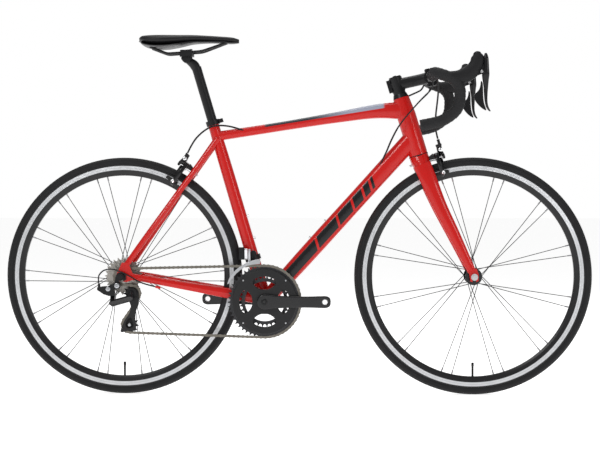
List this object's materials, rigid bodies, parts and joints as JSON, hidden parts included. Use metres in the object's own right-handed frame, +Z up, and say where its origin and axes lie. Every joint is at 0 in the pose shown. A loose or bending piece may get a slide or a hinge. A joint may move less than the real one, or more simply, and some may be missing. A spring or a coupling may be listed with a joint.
{
  "type": "road bicycle",
  "caption": "Road bicycle with drop handlebar, rim brakes, paired-spoke wheels, double chainset and front and rear derailleurs, ready to ride without pedals.",
  "frame": {"origin": "on the ground, under the middle of the bicycle's overall length and width", "axes": "+X towards the front wheel, +Y towards the rider's left (away from the chain), +Z up"},
  "size_m": [1.6618, 0.4532, 1.0189],
  "materials": {
    "frame_paint": "gloss",
    "black_alloy": "satin anodised",
    "silver_alloy": "polished",
    "steel": "brushed",
    "chrome": "polished",
    "spoke_steel": "dark stainless",
    "chain_steel": "nickel-plated",
    "tyre": "matt",
    "tube_rubber": "matt",
    "rim": "black with machined brake track",
    "tape": "padded wrap",
    "hood_rubber": "matt",
    "housing": "gloss",
    "resin": "matt",
    "saddle_skin": "smooth"
  },
  "bodies": {
    "frame": {"frame": "frame_paint", "derailleur_hanger": "black_alloy", "seat_clamp": "black_alloy", "headset_bearings": "steel", "bottom_bracket": "black_alloy", "frame_bolts": "chrome", "rear_axle": "steel", "rear_cables": "housing", "chain": "chain_steel", "fd_bracket": "black_alloy", "rd_bracket": "black_alloy"},
    "steering": {"fork": "frame_paint", "headset_top": "black_alloy", "stem": "black_alloy", "stem_faceplate": "black_alloy", "handlebar": "black_alloy", "bar_tape": "tape", "lever_bodies": "resin", "lever_hoods": "hood_rubber", "front_axle": "steel", "front_brake_bolt": "steel", "front_brake_cable": "housing", "steering_cables": "housing"},
    "front_wheel": {"front_tyre": "tyre", "front_inner_tube": "tube_rubber", "front_rim": "rim", "front_spokes": "spoke_steel", "front_hub": "black_alloy"},
    "rear_wheel": {"rear_tyre": "tyre", "rear_inner_tube": "tube_rubber", "rear_rim": "rim", "rear_spokes": "spoke_steel", "rear_hub": "black_alloy"},
    "cassette": {"cassette": "steel"},
    "crankset": {"crank_arm_right": "black_alloy", "crank_arm_left": "black_alloy", "big_chainring": "black_alloy", "small_chainring": "black_alloy"},
    "seatpost": {"seatpost": "black_alloy"},
    "saddle_clamp": {"saddle_clamp": "black_alloy"},
    "saddle": {"saddle_cover": "saddle_skin", "saddle_rails": "resin"},
    "rd_outer_link": {"rd_outer_link": "black_alloy"},
    "rd_inner_link": {"rd_inner_link": "black_alloy"},
    "rd_knuckle": {"rd_knuckle": "black_alloy"},
    "rd_cage": {"rd_cage": "black_alloy"},
    "guide_pulley": {"guide_pulley": "resin"},
    "tension_pulley": {"tension_pulley": "resin"},
    "fd_link": {"fd_link": "black_alloy"},
    "fd_cage": {"fd_cage": "silver_alloy"},
    "front_brake_arm_left": {"front_brake_arm_left": "black_alloy"},
    "front_brake_arm_right": {"front_brake_arm_right": "black_alloy"},
    "rear_brake_arm_left": {"rear_brake_arm_left": "black_alloy"},
    "rear_brake_arm_right": {"rear_brake_arm_right": "black_alloy"},
    "brake_lever_left": {"brake_lever_left": "resin"},
    "shift_paddle_left": {"shift_paddle_left": "resin"},
    "brake_lever_right": {"brake_lever_right": "resin"},
    "shift_paddle_right": {"shift_paddle_right": "resin"},
    "front_qr_lever": {"front_qr_lever": "steel"},
    "rear_qr_lever": {"rear_qr_lever": "steel"}
  },
  "joints": [
    {"name": "steering", "type": "hinge", "parent": "frame", "child": "steering", "pos_m": [0.34101, 0, 0.67792], "axis": [-0.2924, 0, 0.9563], "range_deg": [-60, 60], "deforming": ["steering_cables"]},
    {"name": "front_wheel_spin", "type": "hinge", "parent": "steering", "child": "front_wheel", "pos_m": [0.495, 0, 0.336], "axis": [0, 1, 0], "continuous": true},
    {"name": "rear_wheel_spin", "type": "hinge", "parent": "frame", "child": "rear_wheel", "pos_m": [-0.495, 0, 0.336], "axis": [0, 1, 0], "continuous": true},
    {"name": "crank_spin", "type": "hinge", "parent": "frame", "child": "crankset", "pos_m": [-0.093, 0, 0.266], "axis": [0, 1, 0], "continuous": true, "deforming": ["chain"]},
    {"name": "cassette_spin", "type": "hinge", "parent": "frame", "child": "cassette", "pos_m": [-0.495, 0, 0.336], "axis": [0, 1, 0], "continuous": true, "deforming": ["chain"]},
    {"name": "rd_outer_link_swing", "type": "hinge", "parent": "frame", "child": "rd_outer_link", "pos_m": [-0.52, -0.07686, 0.26586], "axis": [0, 0.638, 0.77], "range_deg": [0, 49.6], "stiffness_Nm_per_rad": 0.02, "deforming": ["chain"]},
    {"name": "rd_inner_link_swing", "type": "hinge", "parent": "frame", "child": "rd_inner_link", "pos_m": [-0.52, -0.06685, 0.25757], "axis": [0, 0.638, 0.77], "range_deg": [0, 49.6]},
    {"name": "rd_knuckle_swing", "type": "hinge", "parent": "rd_outer_link", "child": "rd_knuckle", "pos_m": [-0.4673, -0.09557, 0.28136], "axis": [0, 0.638, 0.77], "range_deg": [-49.6, 0], "deforming": ["chain"]},
    {"name": "rd_cage_swing", "type": "hinge", "parent": "rd_knuckle", "child": "rd_cage", "pos_m": [-0.466, -0.06, 0.2885], "axis": [0, 1, 0], "range_deg": [-8, 20], "stiffness_Nm_per_rad": 0.2, "deforming": ["chain"]},
    {"name": "guide_pulley_spin", "type": "hinge", "parent": "rd_cage", "child": "guide_pulley", "pos_m": [-0.466, -0.0555, 0.2885], "axis": [0, 1, 0], "continuous": true, "deforming": ["chain"]},
    {"name": "tension_pulley_spin", "type": "hinge", "parent": "rd_cage", "child": "tension_pulley", "pos_m": [-0.47292, -0.0555, 0.20077], "axis": [0, 1, 0], "continuous": true, "deforming": ["chain"]},
    {"name": "fd_link_swing", "type": "hinge", "parent": "frame", "child": "fd_link", "pos_m": [-0.145, -0.038, 0.388], "axis": [1, 0, 0], "range_deg": [-9, 0], "stiffness_Nm_per_rad": 0.5, "deforming": ["chain"]},
    {"name": "fd_cage_swing", "type": "hinge", "parent": "fd_link", "child": "fd_cage", "pos_m": [-0.145, -0.046, 0.411], "axis": [1, 0, 0], "range_deg": [0, 9], "deforming": ["chain"]},
    {"name": "seatpost_height", "type": "slide", "parent": "frame", "child": "seatpost", "axis": [-0.284, 0, 0.9588], "range_m": [-0.04, 0.04]},
    {"name": "saddle_tilt", "type": "hinge", "parent": "seatpost", "child": "saddle_clamp", "pos_m": [-0.316, 0, 0.951], "axis": [0, 1, 0], "range_deg": [-8, 8]},
    {"name": "saddle_fore_aft", "type": "slide", "parent": "saddle_clamp", "child": "saddle", "axis": [0.9977, 0, 0.0673], "range_m": [-0.015, 0.015]},
    {"name": "brake_lever_left_pull", "type": "hinge", "parent": "steering", "child": "brake_lever_left", "pos_m": [0.501, 0.208, 0.901], "axis": [0, 1, 0], "range_deg": [0, 14], "stiffness_Nm_per_rad": 0.3, "springref_deg": -5.73},
    {"name": "shift_paddle_left_push", "type": "hinge", "parent": "brake_lever_left", "child": "shift_paddle_left", "pos_m": [0.498, 0.208, 0.876], "axis": [1, 0, 0], "range_deg": [0, 12], "stiffness_Nm_per_rad": 0.05, "springref_deg": -5.73},
    {"name": "brake_lever_right_pull", "type": "hinge", "parent": "steering", "child": "brake_lever_right", "pos_m": [0.501, -0.208, 0.901], "axis": [0, 1, 0], "range_deg": [0, 14], "stiffness_Nm_per_rad": 0.3, "springref_deg": -5.73},
    {"name": "shift_paddle_right_push", "type": "hinge", "parent": "brake_lever_right", "child": "shift_paddle_right", "pos_m": [0.498, -0.208, 0.876], "axis": [1, 0, 0], "range_deg": [-12, 0], "stiffness_Nm_per_rad": 0.05, "springref_deg": 5.73},
    {"name": "front_brake_arm_right_swing", "type": "hinge", "parent": "steering", "child": "front_brake_arm_right", "pos_m": [0.39143, 0, 0.67033], "axis": [0.9563, 0, 0.2924], "range_deg": [0, 1.9]},
    {"name": "front_brake_arm_left_swing", "type": "hinge", "parent": "steering", "child": "front_brake_arm_left", "pos_m": [0.39732, 0.017, 0.6784], "axis": [0.9563, 0, 0.2924], "range_deg": [-1.9, 0], "deforming": ["front_brake_cable"]},
    {"name": "rear_brake_arm_right_swing", "type": "hinge", "parent": "frame", "child": "rear_brake_arm_right", "pos_m": [-0.31981, 0, 0.64475], "axis": [-0.8145, 0, 0.5802], "range_deg": [-1.9, 0]},
    {"name": "rear_brake_arm_left_swing", "type": "hinge", "parent": "frame", "child": "rear_brake_arm_left", "pos_m": [-0.32284, 0.017, 0.65427], "axis": [-0.8145, 0, 0.5802], "range_deg": [0, 1.9], "deforming": ["rear_cables"]},
    {"name": "front_qr_lever_swing", "type": "hinge", "parent": "steering", "child": "front_qr_lever", "pos_m": [0.495, 0.069, 0.336], "axis": [1, 0, 0], "range_deg": [-150, 0]},
    {"name": "rear_qr_lever_swing", "type": "hinge", "parent": "frame", "child": "rear_qr_lever", "pos_m": [-0.495, 0.085, 0.336], "axis": [1, 0, 0], "range_deg": [0, 150]}
  ],
  "couplings": [
    {"joint": "cassette_spin", "follows": "crank_spin", "ratio": 4.5455},
    {"joint": "guide_pulley_spin", "follows": "crank_spin", "ratio": -4.5455},
    {"joint": "tension_pulley_spin", "follows": "crank_spin", "ratio": 4.5455},
    {"joint": "rd_inner_link_swing", "follows": "rd_outer_link_swing", "ratio": 1},
    {"joint": "rd_knuckle_swing", "follows": "rd_outer_link_swing", "ratio": -1},
    {"joint": "fd_cage_swing", "follows": "fd_link_swing", "ratio": -1},
    {"joint": "front_brake_arm_right_swing", "follows": "brake_lever_left_pull", "ratio": 0.13571},
    {"joint": "front_brake_arm_left_swing", "follows": "brake_lever_left_pull", "ratio": -0.13571},
    {"joint": "rear_brake_arm_left_swing", "follows": "brake_lever_right_pull", "ratio": 0.13571},
    {"joint": "rear_brake_arm_right_swing", "follows": "brake_lever_right_pull", "ratio": -0.13571}
  ]
}
